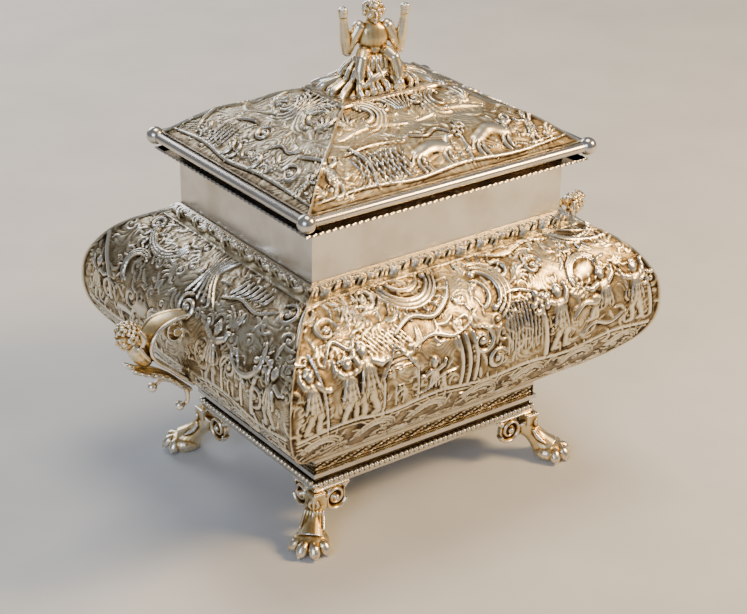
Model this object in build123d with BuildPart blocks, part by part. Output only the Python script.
"""Silver sugar box: bombe body on a beaded plinth with four paw feet, hinged domed lid.

Origin at the centre of the footprint on the table, +Z up, +X along the long side,
the front long side faces -Y and the hinge is on the back. Sizes are in millimetres.
"""
from build123d import *
import os

# ---------------------------------------------------------------- driving dimensions
NECK_LENGTH = 100.5         # outside of the neck collar, along X
NECK_WIDTH = 77.0           # outside of the neck collar, along Y
COLLAR_WALL = 1.2
PANEL_WALL = 1.3            # body sheet, from the crest of the chasing to the inside
LID_WALL = 1.2

PLINTH_TOP = 29.5
PLINTH_STEP_IN = 3.5        # plinth face, inside the neck's footprint on every side
FLOOR_THICKNESS = 1.2
PLINTH_WALL = 1.4
PLINTH_BAND_HEIGHT = 3.6
FILLET_HEIGHT = 1.5
FILLET_PROUD = 0.9
GROOVE_HEIGHT = 2.2
GROOVE_SINK = 0.8
BEAD_WIRE = 2.1             # diameter of the beaded wire
BASE_PLATE = 1.0
BASE_OPENING_RIM = 9.0      # width of the flat ring that closes the plinth below

NECK_FOOT = 93.6            # height where the collar leaves the shoulder
COLLAR_TOP = 117.3
COLLAR_BURIED = 1.4         # how far the collar reaches below the shoulder
FLANGE_TOP = 114.8
FLANGE_THICKNESS = 1.0
FLANGE_PROUD = 6.1          # how far the flange stands out from the collar

BORDER_WIDTH = 5.6          # cast border on the shoulder, beside the collar
BORDER_THICKNESS = 1.3

RIM_OVERHANG_X = 5.75       # from the collar to the centre line of the lid's rim, along X
RIM_OVERHANG_Y = 5.5        # and along Y
LID_SEAT_GAP = 0.1          # air between the collar's top and the lid's seat
RIM_RADIUS = 1.6
RIM_BACK = 1.3              # the rim's flat back, inside its centre line
RIM_HEIGHT = 118.8          # centre line of the lid's rim moulding
BALL_DIAMETER = 6.0
SEAT_THICKNESS = 1.0
BEZEL_WALL = 1.0
BEZEL_DEPTH = 5.0
BEZEL_CLEARANCE = 0.6       # between the bezel and the inside of the collar
SIDE_INSET_RATIO = 0.9      # inset of the long sides of the lid per inset of the short ones
CROWN_THICKNESS = 1.2

HINGE_KNUCKLE_RADIUS = 1.7
HINGE_PIN_RADIUS = 0.8
HINGE_RUNNING_CLEARANCE = 0.05
HINGE_LENGTH = 46.0
HINGE_KNUCKLES = 5
HINGE_END_GAP = 0.15        # air between neighbouring knuckles
HINGE_SET_BACK = 2.9        # axis behind the rim's centre line
HINGE_DROP = 2.7            # axis below the rim's centre line
LEAF_THICKNESS = 0.9
LEAF_TUCK = 3.0             # how far the body leaf runs in under the flange
LEAF_WEB_DROP = 1.0         # top of a knuckle's web, below the pin
LEAF_HEIGHT = 2.2           # height of the lid leaf on the rim
PIN_HEAD_RADIUS = 1.3
PIN_HEAD_LENGTH = 0.8

STUD_RADIUS = 1.5
STUD_CLEARANCE = 0.06
WASHER_RADIUS = 4.5
WASHER_THICKNESS = 0.8
NUT_RADIUS = 3.4
NUT_THICKNESS = 2.2
STUD_SOCKET = 4.0           # depth of the blind hole in the mound
STUD_END = 0.8
MOUND_HEIGHT = 8.6

FIGURE_TURN = -20.0         # turn of the seated figure about the upright, in degrees
HEAD_RISE = 16.6
HEAD_RADIUS = 4.0
FIST_RADIUS = 2.1
TORSO = [                   # height above the mound, half width, half depth
    (0.0, 4.6, 3.6),
    (3.4, 4.0, 3.0),
    (7.6, 5.0, 3.1),
    (10.6, 4.9, 2.6),
    (12.8, 1.8, 1.6),
    (14.6, 1.6, 1.5),
]
FIGURE_JOINTS = {           # across, forward, height above the mound
    "shoulder": (5.0, 0.0, 10.4),
    "elbow": (8.9, 0.6, 2.8),
    "fist": (10.3, 1.2, 16.8),
    "hip": (2.6, 0.4, 1.4),
    "knee": (5.6, 6.8, 1.6),
    "ankle": (6.6, 9.2, -5.0),
}
FIGURE_LIMBS = [            # from, to, radius
    ("shoulder", "elbow", 1.5),
    ("elbow", "fist", 1.35),
    ("hip", "knee", 2.2),
    ("knee", "ankle", 1.6),
]

FOOT_REACH = 7.4            # centre of the paw, outwards from the plinth corner
FOOT_PLATE = 0.9
FOOT_PLATE_SIDE = 14.5
PAW_HALF_LENGTH = 7.2
PAW_RADIUS = 5.4
PAW_CENTRE_HEIGHT = 3.2
VOLUTE_RADIUS = 3.7
VOLUTE_THICKNESS = 3.0
VOLUTE_OFFSET = 7.0         # volute centre, along the side from the corner
VOLUTE_HEIGHT = 13.9

HANDLE_BAND_WIDTH = 9.0
HANDLE_BAND_THICKNESS = 1.8
BUST_HEAD_RADIUS = 4.4

ANKLE = [                   # height, distance outwards along the diagonal, radius
    (16.6, -3.4, 3.6),
    (12.6, -1.6, 3.6),
    (9.6, 0.8, 3.1),
    (6.8, 3.0, 3.3),
    (4.0, 5.4, 4.2),
]
TOE_ANGLES = (-54, -18, 18, 54)
TOE_RADIUS = 2.3
TOE_CENTRE = 1.8            # height of a toe's centre: its pad is flattened by the table
TOE_SPREAD = 5.0
BEAD_ROUNDING = 0.84        # radius on the long edges of the beaded wire

# Handle points are distances outwards from the end of the neck, and heights.
LOOP = [
    (22.75, 76.4), (27.75, 77.2), (33.25, 76.0), (37.35, 72.0), (38.05, 67.6),
    (35.35, 63.4), (30.75, 59.6), (26.15, 55.4), (20.75, 50.6),
]
BUST = [                    # distance, height, radius
    (37.65, 63.6, 2.4),
    (39.65, 66.6, 3.3),
    (41.15, 69.2, 3.1),
    (42.55, 71.6, 2.0),
]
HEAD_REACH = 43.85
HEAD_HEIGHT = 74.2
ACANTHUS = [
    (44.55, 64.0), (40.15, 61.2), (35.15, 59.6), (30.35, 56.8), (25.35, 52.0), (20.75, 47.6),
]
ACANTHUS_WIDTH = 10.0
ACANTHUS_THICKNESS = 1.3
TENDRIL_RADIUS = 0.8
TENDRIL_BEND = 1.6
TENDRIL_BALL = 1.7
UPPER_TENDRIL = [(25.55, 51.6), (28.75, 54.4), (32.75, 54.8), (35.55, 53.2)]
LOWER_TENDRIL = [(23.75, 50.4), (22.65, 46.6), (23.15, 43.4), (25.75, 43.2)]
VOLUTE_EYE_REACH = 26.75
VOLUTE_EYE_HEIGHT = 71.6
VOLUTE_EYE_RADIUS = 2.5
VOLUTE_NECK = 1.8           # how far the volute's upper lobe sits back from its eye

MOUND_SECTIONS = [          # height above the crown, half length, half width
    (3.2, 13.6, 9.0),
    (6.0, 9.6, 7.2),
    (MOUND_HEIGHT, 7.4, 5.6),
]

# Height and swell of the body wall, from the plinth to the neck. The swell is measured
# outwards from the neck's footprint, and is the same on all four sides.
BODY_PROFILE = [
    (-PLINTH_STEP_IN, PLINTH_TOP), (1.0, 33.0), (8.5, 38.5), (16.0, 45.0), (22.0, 52.0), (24.9, 58.0),
    (25.8, 65.0), (24.8, 73.0), (21.2, 80.0), (15.8, 86.0), (8.5, 90.6), (-1.0, 94.0),
]

# Inset and height of the lid wall, from the rim to the crown: a full lower band, a cove,
# and a smaller dome above it.
LID_PROFILE = [
    (0.0, 119.5), (4.0, 122.3), (8.0, 125.3), (12.0, 128.0), (16.0, 130.2), (20.0, 131.6),
    (23.5, 132.4), (26.0, 133.9), (29.0, 135.6), (33.0, 137.0), (37.0, 138.0),
]

# ---------------------------------------------------------------- sizes that follow
NECK_X = NECK_LENGTH / 2
NECK_Y = NECK_WIDTH / 2
PLINTH_X = NECK_X - PLINTH_STEP_IN
PLINTH_Y = NECK_Y - PLINTH_STEP_IN
RIM_X = NECK_X + RIM_OVERHANG_X
RIM_Y = NECK_Y + RIM_OVERHANG_Y
FLOOR_BOTTOM = PLINTH_TOP - FLOOR_THICKNESS
BAND_BOTTOM = FLOOR_BOTTOM - PLINTH_BAND_HEIGHT
FILLET_BOTTOM = BAND_BOTTOM - FILLET_HEIGHT
GROOVE_BOTTOM = FILLET_BOTTOM - GROOVE_HEIGHT
BEAD_BOTTOM = GROOVE_BOTTOM - BEAD_WIRE
BASE_BOTTOM = BEAD_BOTTOM - BASE_PLATE
FOOT_TOP = BASE_BOTTOM
SEAT_BOTTOM = COLLAR_TOP + LID_SEAT_GAP
BEZEL_X = NECK_X - COLLAR_WALL - BEZEL_CLEARANCE
BEZEL_Y = NECK_Y - COLLAR_WALL - BEZEL_CLEARANCE
CROWN_INSET, CROWN_SEAT = LID_PROFILE[-1]
CROWN_X = RIM_X - CROWN_INSET
CROWN_Y = RIM_Y - SIDE_INSET_RATIO * CROWN_INSET
CROWN_TOP = CROWN_SEAT + CROWN_THICKNESS / 2
CROWN_BOTTOM = CROWN_TOP - CROWN_THICKNESS
HINGE_Y = RIM_Y + HINGE_SET_BACK
HINGE_Z = RIM_HEIGHT - HINGE_DROP
FLANGE_EDGE = NECK_Y + FLANGE_PROUD
BODY_LEAF_TOP = FLANGE_TOP - FLANGE_THICKNESS
NUT_TOP = CROWN_BOTTOM - WASHER_THICKNESS
STUD_TOP = CROWN_TOP + STUD_SOCKET
STUD_BOTTOM = NUT_TOP - NUT_THICKNESS - STUD_END
FIGURE_FOOT = CROWN_TOP + MOUND_HEIGHT

MITRE_REACH = 32.0          # how far the mitre planes run past the neck's footprint
MITRE_DEPTH = 12.0
SIDES = {"front": (0, -1), "back": (0, 1), "left": (-1, 0), "right": (1, 0)}
CORNERS = {
    "front_left": (-1, -1),
    "front_right": (1, -1),
    "back_left": (-1, 1),
    "back_right": (1, 1),
}

os.makedirs("parts", exist_ok=True)


def save(piece, name):
    """Label a finished piece and write it as its own STEP file."""
    piece.part.label = name
    export_step(piece.part, f"parts/{name}.step")


def section_plane(out, half_length=0.0):
    """Vertical plane across one side, at its near end: x runs outwards, y runs up."""
    across = Plane(origin=(0, 0, 0), x_dir=(out[0], out[1], 0), z_dir=(out[1], -out[0], 0))
    return across.offset(-half_length)


def plan_plane(out, height):
    """Level plane seen from one side: local x runs along the side, local y outwards."""
    return Plane(origin=(0, 0, height), x_dir=(out[1], -out[0], 0), z_dir=(0, 0, 1))


def reach_of(out, size_x, size_y):
    """Half size across a side, then half size along it."""
    return (size_x, size_y) if out[0] else (size_y, size_x)


def wall_outline(outer, wall):
    """Inner points of a sheet whose outer face runs through the given points."""
    inner = []
    for index, point in enumerate(outer):
        before = outer[max(index - 1, 0)]
        after = outer[min(index + 1, len(outer) - 1)]
        run = Vector(after[0] - before[0], after[1] - before[1]).normalized()
        inner.append((point[0] - run.Y * wall, point[1] + run.X * wall))
    return inner


def sheet_section(outer, wall):
    """Inner edge of a wall that leans in as it rises, cut level at its foot."""
    inner = wall_outline(outer, wall)
    foot = (inner[0][0] - (inner[0][1] - outer[0][1]), outer[0][1])
    return inner, foot


def body_points(half):
    return [(half + swell, height) for swell, height in BODY_PROFILE]


def core_outline(half):
    """Everything inside the outer face of the body wall, on one side."""
    points = body_points(half)
    Spline(*points)
    Polyline(points[-1], (0, points[-1][1]), (0, points[0][1]), points[0])


def mitre_plan(half_across, half_along):
    """Corners of the plan of one side between its two mitre planes."""
    near = half_across - MITRE_DEPTH
    far = half_across + MITRE_REACH
    near_along = half_along - MITRE_DEPTH
    far_along = half_along + MITRE_REACH
    return [(-near_along, near), (near_along, near), (far_along, far), (-far_along, far)]


def handle_points(route):
    """Points of a handle's route, measured from the middle of the box."""
    return [(NECK_X + reach, height) for reach, height in route]


# ---------------------------------------------------------------- bombe body
for side, out in SIDES.items():
    across, along = reach_of(out, NECK_X, NECK_Y)
    outer = body_points(across)
    inner, foot = sheet_section(outer, PANEL_WALL)
    with BuildPart() as panel:
        with BuildSketch(section_plane(out, along + MITRE_REACH)):
            with BuildLine():
                Spline(*outer)
                Line(outer[-1], inner[-1])
                Spline(*reversed(inner))
                Polyline(inner[0], foot, outer[0])
            make_face()
        extrude(amount=2 * (along + MITRE_REACH))
        with BuildSketch(plan_plane(out, PLINTH_TOP)):
            with BuildLine():
                Polyline(*mitre_plan(across, along), close=True)
            make_face()
        extrude(amount=COLLAR_TOP, mode=Mode.INTERSECT)
        with BuildSketch(Plane.XY.offset(NECK_FOOT - COLLAR_BURIED)):
            Rectangle(NECK_LENGTH, NECK_WIDTH)
        extrude(amount=COLLAR_TOP, mode=Mode.SUBTRACT)
    save(panel, f"body_panel_{side}")

with BuildPart() as body_floor:
    with BuildSketch(Plane.XY.offset(FLOOR_BOTTOM)):
        Rectangle(2 * PLINTH_X, 2 * PLINTH_Y)
    extrude(amount=FLOOR_THICKNESS)
save(body_floor, "body_floor")

# ---------------------------------------------------------------- neck
with BuildPart() as neck_collar:
    with BuildSketch(Plane.XY.offset(NECK_FOOT - COLLAR_BURIED)):
        Rectangle(NECK_LENGTH, NECK_WIDTH)
        Rectangle(NECK_LENGTH - 2 * COLLAR_WALL, NECK_WIDTH - 2 * COLLAR_WALL,
                  mode=Mode.SUBTRACT)
    extrude(amount=COLLAR_TOP - NECK_FOOT + COLLAR_BURIED)
save(neck_collar, "neck_collar")

with BuildPart() as neck_flange:
    with BuildSketch(Plane.XY.offset(FLANGE_TOP - FLANGE_THICKNESS)):
        Rectangle(NECK_LENGTH + 2 * FLANGE_PROUD, NECK_WIDTH + 2 * FLANGE_PROUD)
        Rectangle(NECK_LENGTH, NECK_WIDTH, mode=Mode.SUBTRACT)
    extrude(amount=FLANGE_THICKNESS)
save(neck_flange, "neck_flange")

for side, out in SIDES.items():
    across, along = reach_of(out, NECK_X, NECK_Y)
    raised = wall_outline(body_points(across), -BORDER_THICKNESS)
    with BuildPart() as shoulder_border:
        with BuildSketch(section_plane(out, along + MITRE_REACH)):
            with BuildLine():
                Spline(*raised)
                Polyline(raised[-1], (across - MITRE_DEPTH, PLINTH_TOP), raised[0])
            make_face()
        extrude(amount=2 * (along + MITRE_REACH))
        with BuildSketch(plan_plane(out, NECK_FOOT - BORDER_WIDTH)):
            with BuildLine():
                Polyline(
                    (-along, across),
                    (along, across),
                    (along + BORDER_WIDTH, across + BORDER_WIDTH),
                    (-along - BORDER_WIDTH, across + BORDER_WIDTH),
                    close=True,
                )
            make_face()
        extrude(amount=COLLAR_TOP, mode=Mode.INTERSECT)
        with BuildSketch(section_plane(out, along + MITRE_REACH)):
            with BuildLine():
                core_outline(across)
            make_face()
        extrude(amount=2 * (along + MITRE_REACH), mode=Mode.SUBTRACT)
    save(shoulder_border, f"shoulder_border_{side}")

# ---------------------------------------------------------------- plinth
plinth_courses = [
    ("plinth_band", BAND_BOTTOM, PLINTH_BAND_HEIGHT, 0.0),
    ("plinth_fillet", FILLET_BOTTOM, FILLET_HEIGHT, FILLET_PROUD),
    ("plinth_groove", GROOVE_BOTTOM, GROOVE_HEIGHT, -GROOVE_SINK),
]
for name, bottom, height, proud in plinth_courses:
    with BuildPart() as course:
        with BuildSketch(Plane.XY.offset(bottom)):
            Rectangle(2 * (PLINTH_X + proud), 2 * (PLINTH_Y + proud))
            Rectangle(2 * (PLINTH_X - GROOVE_SINK - PLINTH_WALL),
                      2 * (PLINTH_Y - GROOVE_SINK - PLINTH_WALL), mode=Mode.SUBTRACT)
        extrude(amount=height)
    save(course, name)

with BuildPart() as bead_wire:
    with BuildSketch(Plane.XY.offset(BEAD_BOTTOM)):
        Rectangle(2 * (PLINTH_X + BEAD_WIRE / 2), 2 * (PLINTH_Y + BEAD_WIRE / 2))
        Rectangle(2 * (PLINTH_X - BEAD_WIRE), 2 * (PLINTH_Y - BEAD_WIRE), mode=Mode.SUBTRACT)
    extrude(amount=BEAD_WIRE)
    outside = bead_wire.edges().filter_by(Axis.Z, reverse=True)
    outside = [edge for edge in outside
               if abs(edge.center().X) > PLINTH_X or abs(edge.center().Y) > PLINTH_Y]
    fillet(outside, radius=BEAD_ROUNDING)
save(bead_wire, "bead_wire")

with BuildPart() as base_plate:
    with BuildSketch(Plane.XY.offset(BASE_BOTTOM)):
        Rectangle(2 * PLINTH_X, 2 * PLINTH_Y)
        Rectangle(2 * (PLINTH_X - BASE_OPENING_RIM), 2 * (PLINTH_Y - BASE_OPENING_RIM),
                  mode=Mode.SUBTRACT)
    extrude(amount=BASE_PLATE)
save(base_plate, "base_plate")

# ---------------------------------------------------------------- feet
for name, (sign_x, sign_y) in CORNERS.items():
    corner_x = sign_x * PLINTH_X
    corner_y = sign_y * PLINTH_Y
    outward = Vector(sign_x, sign_y, 0).normalized()
    paw_x = corner_x + outward.X * FOOT_REACH
    paw_y = corner_y + outward.Y * FOOT_REACH
    with BuildPart() as foot_casting:
        with BuildSketch(Plane.XY.offset(FOOT_TOP - FOOT_PLATE)):
            with BuildLine():
                Polyline(
                    (corner_x, corner_y),
                    (corner_x - sign_x * FOOT_PLATE_SIDE, corner_y),
                    (corner_x, corner_y - sign_y * FOOT_PLATE_SIDE),
                    close=True,
                )
            make_face()
        extrude(amount=FOOT_PLATE)
        volute_x = corner_x - sign_x * VOLUTE_OFFSET
        volute_y = corner_y - sign_y * VOLUTE_OFFSET
        inset = VOLUTE_THICKNESS / 2
        with Locations((volute_x, corner_y - sign_y * inset, VOLUTE_HEIGHT)):
            Cylinder(VOLUTE_RADIUS, VOLUTE_THICKNESS, rotation=(90, 0, 0))
        with Locations((corner_x - sign_x * inset, volute_y, VOLUTE_HEIGHT)):
            Cylinder(VOLUTE_RADIUS, VOLUTE_THICKNESS, rotation=(0, 90, 0))
        for height, reach, radius in ANKLE:
            with BuildSketch(Plane.XY.offset(height)):
                with Locations((corner_x + outward.X * reach, corner_y + outward.Y * reach)):
                    Circle(radius)
        loft()
        paw_plane = Plane(origin=(paw_x, paw_y, PAW_CENTRE_HEIGHT),
                          x_dir=(outward.X, outward.Y, 0), z_dir=(-outward.Y, outward.X, 0))
        with BuildSketch(paw_plane):
            Ellipse(PAW_HALF_LENGTH, PAW_RADIUS)
            Rectangle(4 * PAW_HALF_LENGTH, 2 * PAW_RADIUS, mode=Mode.SUBTRACT,
                      align=(Align.CENTER, Align.MAX))
        revolve(axis=Axis((paw_x, paw_y, PAW_CENTRE_HEIGHT), (-outward.X, -outward.Y, 0)))
        for angle in TOE_ANGLES:
            turn = outward.rotate(Axis.Z, angle)
            with Locations((paw_x + turn.X * TOE_SPREAD, paw_y + turn.Y * TOE_SPREAD,
                            TOE_CENTRE)):
                Sphere(TOE_RADIUS)
        with Locations((paw_x, paw_y, 0)):
            Box(4 * PAW_HALF_LENGTH, 4 * PAW_HALF_LENGTH, PAW_RADIUS,
                align=(Align.CENTER, Align.CENTER, Align.MAX), mode=Mode.SUBTRACT)
    save(foot_casting, f"foot_{name}")

# ---------------------------------------------------------------- handles
handle_castings = {}
for side in ("left", "right"):
    out = SIDES[side]
    band_plane = section_plane(out, HANDLE_BAND_WIDTH / 2)
    loop = handle_points(LOOP)
    band_inside = wall_outline(loop, -HANDLE_BAND_THICKNESS)
    with BuildPart() as handle_scroll:
        with BuildSketch(band_plane):
            with BuildLine():
                Spline(*loop)
                Line(loop[-1], band_inside[-1])
                Spline(*reversed(band_inside))
                Line(band_inside[0], loop[0])
            make_face()
            with Locations((NECK_X + VOLUTE_EYE_REACH, VOLUTE_EYE_HEIGHT)):
                Circle(VOLUTE_EYE_RADIUS)
            with Locations((NECK_X + VOLUTE_EYE_REACH - VOLUTE_NECK,
                            VOLUTE_EYE_HEIGHT + VOLUTE_EYE_RADIUS)):
                Circle(VOLUTE_EYE_RADIUS)
        extrude(amount=HANDLE_BAND_WIDTH)
        for reach, height, radius in BUST:
            with BuildSketch(Plane.XY.offset(height)):
                with Locations((out[0] * (NECK_X + reach), 0)):
                    Circle(radius)
        loft()
        with Locations((out[0] * (NECK_X + HEAD_REACH), 0, HEAD_HEIGHT)):
            Sphere(BUST_HEAD_RADIUS)
        with BuildSketch(section_plane(out, NECK_Y)):
            with BuildLine():
                core_outline(NECK_X)
            make_face()
        extrude(amount=NECK_WIDTH, mode=Mode.SUBTRACT)
    handle_castings[side] = handle_scroll.part
    save(handle_scroll, f"handle_{side}")

for side in ("left", "right"):
    out = SIDES[side]
    spine = handle_points(ACANTHUS)
    leaf_inside = wall_outline(spine, ACANTHUS_THICKNESS)
    with BuildPart() as handle_leaf:
        with BuildSketch(section_plane(out, ACANTHUS_WIDTH / 2)):
            with BuildLine():
                Spline(*spine)
                Line(spine[-1], leaf_inside[-1])
                Spline(*reversed(leaf_inside))
                Line(leaf_inside[0], spine[0])
            make_face()
        extrude(amount=ACANTHUS_WIDTH)
        for route in (UPPER_TENDRIL, LOWER_TENDRIL):
            with BuildLine(section_plane(out)) as tendril:
                FilletPolyline(*handle_points(route), radius=TENDRIL_BEND)
            with BuildSketch(Plane(origin=tendril.line @ 0, z_dir=tendril.line % 0)):
                Circle(TENDRIL_RADIUS)
            sweep(path=tendril.line)
            with Locations(tendril.line @ 1):
                Sphere(TENDRIL_BALL)
        with BuildSketch(section_plane(out, NECK_Y)):
            with BuildLine():
                core_outline(NECK_X)
            make_face()
        extrude(amount=NECK_WIDTH, mode=Mode.SUBTRACT)
        add(handle_castings[side], mode=Mode.SUBTRACT)
    save(handle_leaf, f"handle_leaf_{side}")

# ---------------------------------------------------------------- lid
with BuildPart() as lid_rim:
    for out in SIDES.values():
        across, along = reach_of(out, RIM_X, RIM_Y)
        with BuildSketch(section_plane(out, along)):
            with Locations((across, RIM_HEIGHT)):
                Circle(RIM_RADIUS)
            with Locations((across - RIM_BACK, RIM_HEIGHT)):
                Rectangle(2 * RIM_RADIUS, 2 * RIM_RADIUS, align=(Align.MAX, Align.CENTER),
                          mode=Mode.SUBTRACT)
        extrude(amount=2 * along)
save(lid_rim, "lid_rim")

for name, (sign_x, sign_y) in CORNERS.items():
    align_x = Align.MAX if sign_x > 0 else Align.MIN
    align_y = Align.MAX if sign_y > 0 else Align.MIN
    with BuildPart() as lid_ball:
        with Locations((sign_x * RIM_X, sign_y * RIM_Y, RIM_HEIGHT)):
            Sphere(BALL_DIAMETER / 2)
            Cylinder(RIM_RADIUS, BALL_DIAMETER, rotation=(0, 90, 0),
                     align=(Align.CENTER, Align.CENTER, Align.MIN if sign_x < 0 else Align.MAX),
                     mode=Mode.SUBTRACT)
            Cylinder(RIM_RADIUS, BALL_DIAMETER, rotation=(90, 0, 0),
                     align=(Align.CENTER, Align.CENTER, Align.MAX if sign_y < 0 else Align.MIN),
                     mode=Mode.SUBTRACT)
        with Locations((sign_x * (RIM_X - RIM_BACK), sign_y * (RIM_Y - RIM_BACK), RIM_HEIGHT)):
            Box(BALL_DIAMETER, BALL_DIAMETER, 2 * BALL_DIAMETER,
                align=(align_x, align_y, Align.CENTER), mode=Mode.SUBTRACT)
    save(lid_ball, f"lid_ball_{name}")

for side, out in SIDES.items():
    across, along = reach_of(out, RIM_X, RIM_Y)
    own_ratio = 1.0 if out[0] else SIDE_INSET_RATIO
    slope = SIDE_INSET_RATIO if out[0] else 1 / SIDE_INSET_RATIO
    outer = [(across - own_ratio * inset, height) for inset, height in LID_PROFILE]
    inner = wall_outline(outer, LID_WALL)
    with BuildPart() as panel:
        with BuildSketch(section_plane(out, along)):
            with BuildLine():
                Spline(*outer)
                Line(outer[-1], inner[-1])
                Spline(*reversed(inner))
                Line(inner[0], outer[0])
            make_face()
        extrude(amount=2 * along)
        inset_limit = LID_PROFILE[-1][0]
        with BuildSketch(plan_plane(out, COLLAR_TOP)):
            with BuildLine():
                Polyline(
                    (-along, across),
                    (along, across),
                    (along - slope * own_ratio * inset_limit, across - own_ratio * inset_limit),
                    (-along + slope * own_ratio * inset_limit, across - own_ratio * inset_limit),
                    close=True,
                )
            make_face()
        extrude(amount=CROWN_TOP, mode=Mode.INTERSECT)
        with BuildSketch(Plane.XY.offset(COLLAR_TOP)):
            Rectangle(2 * (RIM_X - RIM_BACK), 2 * (RIM_Y - RIM_BACK))
        extrude(amount=CROWN_TOP, mode=Mode.INTERSECT)
    save(panel, f"lid_panel_{side}")

with BuildPart() as lid_crown:
    with BuildSketch(Plane.XY.offset(CROWN_BOTTOM)):
        Rectangle(2 * CROWN_X, 2 * CROWN_Y)
        Circle(STUD_RADIUS + STUD_CLEARANCE, mode=Mode.SUBTRACT)
    extrude(amount=CROWN_THICKNESS)
save(lid_crown, "lid_crown")

with BuildPart() as lid_bezel:
    with BuildSketch(Plane.XY.offset(SEAT_BOTTOM)):
        Rectangle(2 * (RIM_X - RIM_BACK), 2 * (RIM_Y - RIM_BACK))
    extrude(amount=SEAT_THICKNESS)
    with BuildSketch(Plane.XY.offset(SEAT_BOTTOM - BEZEL_DEPTH)):
        Rectangle(2 * BEZEL_X, 2 * BEZEL_Y)
    extrude(amount=BEZEL_DEPTH)
    with BuildSketch(Plane.XY.offset(SEAT_BOTTOM - BEZEL_DEPTH)):
        Rectangle(2 * (BEZEL_X - BEZEL_WALL), 2 * (BEZEL_Y - BEZEL_WALL))
    extrude(amount=BEZEL_DEPTH + SEAT_THICKNESS, mode=Mode.SUBTRACT)
save(lid_bezel, "lid_bezel")

# ---------------------------------------------------------------- hinge
knuckle_pitch = HINGE_LENGTH / HINGE_KNUCKLES
knuckle_length = knuckle_pitch - HINGE_END_GAP


def knuckle_centres(first):
    """Places along the pin of every other knuckle, from the first one given."""
    return [(index + 0.5) * knuckle_pitch - HINGE_LENGTH / 2
            for index in range(first, HINGE_KNUCKLES, 2)]


def hinge_plane(centre):
    """Upright plane across the pin: local x runs to the back, local y runs up."""
    return Plane(origin=(centre, 0, 0), x_dir=(0, 1, 0), z_dir=(1, 0, 0))


with BuildPart() as hinge_body_leaf:
    for centre in knuckle_centres(0):
        with BuildSketch(hinge_plane(centre)):
            with Locations((HINGE_Y, HINGE_Z)):
                Circle(HINGE_KNUCKLE_RADIUS)
            with Locations((FLANGE_EDGE, BODY_LEAF_TOP - LEAF_THICKNESS)):
                Rectangle(HINGE_Y - FLANGE_EDGE, HINGE_Z - BODY_LEAF_TOP + LEAF_THICKNESS - LEAF_WEB_DROP,
                          align=(Align.MIN, Align.MIN))
            with Locations((HINGE_Y, HINGE_Z)):
                Circle(HINGE_PIN_RADIUS + HINGE_RUNNING_CLEARANCE, mode=Mode.SUBTRACT)
        extrude(amount=knuckle_length / 2, both=True)
    with BuildSketch(hinge_plane(0)):
        with Locations((HINGE_Y, BODY_LEAF_TOP)):
            Rectangle(HINGE_Y - FLANGE_EDGE + LEAF_TUCK, LEAF_THICKNESS,
                      align=(Align.MAX, Align.MAX))
    extrude(amount=HINGE_LENGTH / 2, both=True)
save(hinge_body_leaf, "hinge_body_leaf")

with BuildPart() as hinge_lid_leaf:
    for centre in knuckle_centres(1):
        with BuildSketch(hinge_plane(centre)):
            with Locations((HINGE_Y, HINGE_Z)):
                Circle(HINGE_KNUCKLE_RADIUS)
            with Locations((RIM_Y + RIM_RADIUS, HINGE_Z)):
                Rectangle(LEAF_THICKNESS, RIM_HEIGHT - HINGE_Z, align=(Align.MIN, Align.MIN))
            with Locations((HINGE_Y, HINGE_Z)):
                Circle(HINGE_PIN_RADIUS + HINGE_RUNNING_CLEARANCE, mode=Mode.SUBTRACT)
        extrude(amount=knuckle_length / 2, both=True)
    with BuildSketch(hinge_plane(0)):
        with Locations((RIM_Y, RIM_HEIGHT + RIM_RADIUS)):
            Rectangle(RIM_RADIUS + LEAF_THICKNESS, LEAF_HEIGHT, align=(Align.MIN, Align.MAX))
    extrude(amount=HINGE_LENGTH / 2, both=True)
    add(lid_rim.part, mode=Mode.SUBTRACT)
save(hinge_lid_leaf, "hinge_lid_leaf")

with BuildPart() as hinge_pin:
    with BuildSketch(hinge_plane(0)):
        with Locations((HINGE_Y, HINGE_Z)):
            Circle(HINGE_PIN_RADIUS)
    extrude(amount=HINGE_LENGTH / 2 + PIN_HEAD_LENGTH, both=True)
    for end in (-1, 1):
        with BuildSketch(hinge_plane(end * (HINGE_LENGTH / 2 + PIN_HEAD_LENGTH / 2))):
            with Locations((HINGE_Y, HINGE_Z)):
                Circle(PIN_HEAD_RADIUS)
        extrude(amount=PIN_HEAD_LENGTH / 2, both=True)
save(hinge_pin, "hinge_pin")

# ---------------------------------------------------------------- finial
with BuildPart() as finial_mound:
    for rise, half_length, half_width in [(0, CROWN_X, CROWN_Y)] + MOUND_SECTIONS:
        with BuildSketch(Plane.XY.offset(CROWN_TOP + rise)):
            Ellipse(half_length, half_width)
    loft()
    with BuildSketch(Plane.XY.offset(CROWN_TOP)):
        Circle(STUD_RADIUS + STUD_CLEARANCE)
    extrude(amount=STUD_SOCKET, mode=Mode.SUBTRACT)
save(finial_mound, "finial_mound")


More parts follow.
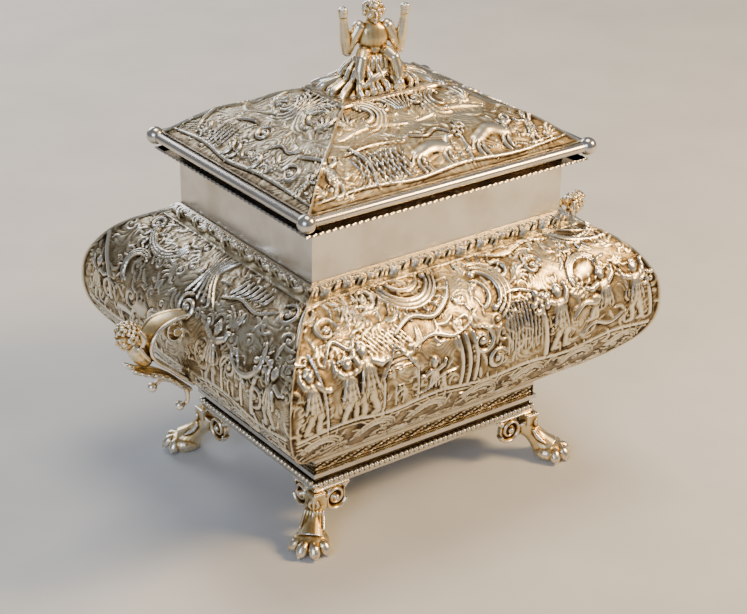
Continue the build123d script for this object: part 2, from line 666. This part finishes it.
def figure_point(hand, joint):
    """Place of one joint of the seated figure, on its right (-1) or left (1) side."""
    across, forward, rise = FIGURE_JOINTS[joint]
    place = Vector(hand * across, -forward, 0).rotate(Axis.Z, FIGURE_TURN)
    return place + Vector(0, 0, FIGURE_FOOT + rise)


with BuildPart() as finial_figure:
    for rise, half_length, half_width in TORSO:
        with BuildSketch(Plane(origin=(0, 0, FIGURE_FOOT + rise),
                               x_dir=Vector(1, 0, 0).rotate(Axis.Z, FIGURE_TURN),
                               z_dir=(0, 0, 1))):
            Ellipse(half_length, half_width)
    loft()
    for hand in (-1, 1):
        for upper, lower, radius in FIGURE_LIMBS:
            start = figure_point(hand, upper)
            end = figure_point(hand, lower)
            run = end - start
            with BuildSketch(Plane(origin=start, z_dir=run)):
                Circle(radius)
            extrude(amount=run.length)
            with Locations(start, end):
                Sphere(radius)
        with Locations(figure_point(hand, "fist")):
            Sphere(FIST_RADIUS)
    with Locations((0, 0, FIGURE_FOOT + HEAD_RISE)):
        Sphere(HEAD_RADIUS)
    add(finial_mound.part, mode=Mode.SUBTRACT)
save(finial_figure, "finial_figure")

with BuildPart() as finial_washer:
    with BuildSketch(Plane.XY.offset(CROWN_BOTTOM - WASHER_THICKNESS)):
        Circle(WASHER_RADIUS)
        Circle(STUD_RADIUS + STUD_CLEARANCE, mode=Mode.SUBTRACT)
    extrude(amount=WASHER_THICKNESS)
save(finial_washer, "finial_washer")

with BuildPart() as finial_nut:
    with BuildSketch(Plane.XY.offset(NUT_TOP - NUT_THICKNESS)):
        RegularPolygon(NUT_RADIUS, 6)
        Circle(STUD_RADIUS + STUD_CLEARANCE, mode=Mode.SUBTRACT)
    extrude(amount=NUT_THICKNESS)
save(finial_nut, "finial_nut")

with BuildPart() as finial_stud:
    with BuildSketch(Plane.XY.offset(STUD_BOTTOM)):
        Circle(STUD_RADIUS)
    extrude(amount=STUD_TOP - STUD_BOTTOM)
    chamfer(finial_stud.faces().sort_by(Axis.Z)[0].edges(), length=STUD_END / 2)
save(finial_stud, "finial_stud")
